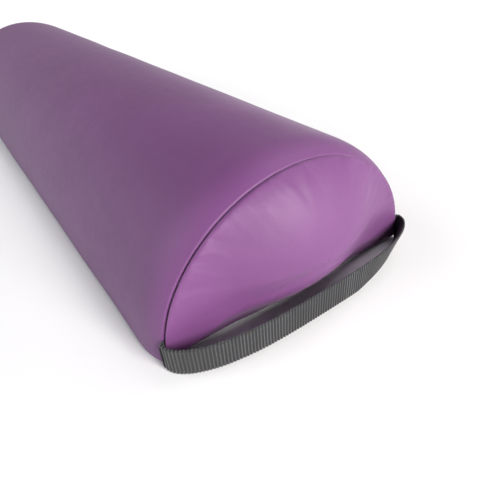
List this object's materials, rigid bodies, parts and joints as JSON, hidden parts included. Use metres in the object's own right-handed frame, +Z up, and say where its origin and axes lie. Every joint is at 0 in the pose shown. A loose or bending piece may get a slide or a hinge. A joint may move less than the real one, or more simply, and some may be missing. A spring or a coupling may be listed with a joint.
{
  "type": "massage bolster pillow",
  "caption": "Half-round massage bolster: foam block in a sewn vinyl cover with a webbing carry strap and a zipped flat base.",
  "frame": {"origin": "middle of the flat base, on the surface that it rests on", "axes": "+X along the bolster towards the carry strap, +Y across it, +Z up from the flat base"},
  "size_m": [0.7105, 0.203, 0.098],
  "materials": {
    "vinyl": "satin purple leather-look vinyl with a fine grain",
    "fibre": "loose white polyester fibre",
    "foam": "open-cell upholstery foam",
    "thread": "twisted sewing thread",
    "webbing": "ribbed black polypropylene webbing",
    "strap_thread": "black sewing thread",
    "zip_tape": "woven tape",
    "zip_teeth": "nylon coil",
    "zip_metal": "plain nickel plate"
  },
  "bodies": {
    "bolster": {"top_panel": "vinyl", "base_panel_front": "vinyl", "base_panel_back": "vinyl", "end_panel_handle": "vinyl", "end_panel_far": "vinyl", "wadding": "fibre", "end_pad_handle": "fibre", "end_pad_far": "fibre", "foam_core": "foam", "end_thread_handle": "thread", "end_thread_far": "thread", "side_thread_front": "thread", "side_thread_back": "thread", "zip_thread_front": "thread", "zip_thread_back": "thread", "strap_end_front": "webbing", "strap_end_back": "webbing", "bartack_front": "strap_thread", "bartack_back": "strap_thread", "zip_tape_front": "zip_tape", "zip_tape_back": "zip_tape", "zip_teeth_front": "zip_teeth", "zip_teeth_back": "zip_teeth", "zip_top_stop": "zip_metal", "zip_bottom_stop": "zip_metal"},
    "carry_strap": {"strap": "webbing"},
    "slider": {"zip_slider": "zip_metal"},
    "pull": {"zip_pull_tab": "zip_metal"}
  },
  "joints": [
    {"name": "strap_lies_down", "type": "hinge", "parent": "bolster", "child": "carry_strap", "pos_m": [0.35625, 0, 0], "axis": [0, 1, 0], "range_deg": [0, 80]},
    {"name": "zip_slide", "type": "slide", "parent": "bolster", "child": "slider", "axis": [1, 0, 0], "range_m": [0, 0.5]},
    {"name": "pull_flip", "type": "hinge", "parent": "slider", "child": "pull", "pos_m": [-0.2572, 0.045, 0.00075], "axis": [0, -1, 0], "range_deg": [0, 150]}
  ]
}
